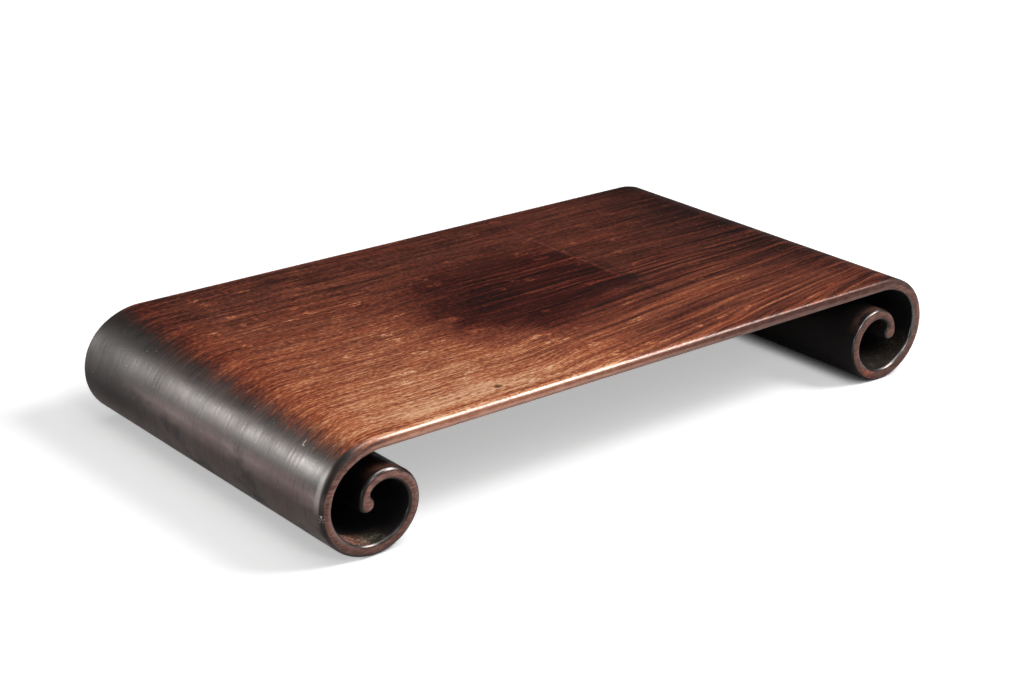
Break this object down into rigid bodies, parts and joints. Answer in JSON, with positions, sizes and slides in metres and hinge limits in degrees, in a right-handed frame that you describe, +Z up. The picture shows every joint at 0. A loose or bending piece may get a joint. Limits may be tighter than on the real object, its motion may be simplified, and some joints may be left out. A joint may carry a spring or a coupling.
{
  "type": "scroll-ended display stand",
  "caption": "Low hardwood display stand: a thin flat board whose ends roll under into the open scrolls that it stands on.",
  "frame": {"origin": "on the ground, at the middle of the stand's length and depth", "axes": "+X along the length towards the right-hand scroll, the front long edge faces -Y, +Z up"},
  "size_m": [0.45, 0.238, 0.065],
  "materials": {
    "board": "oiled and rubbed, satin, worn on the arris",
    "scroll": "oiled and rubbed, satin, darkened by handling",
    "tenon": "bare planed wood inside the joints"
  },
  "bodies": {
    "root": {"top_board": "board", "left_scroll": "scroll", "right_scroll": "scroll", "left_tenon_1": "tenon", "left_tenon_2": "tenon", "left_tenon_3": "tenon", "left_tenon_4": "tenon", "right_tenon_1": "tenon", "right_tenon_2": "tenon", "right_tenon_3": "tenon", "right_tenon_4": "tenon"}
  },
  "joints": []
}
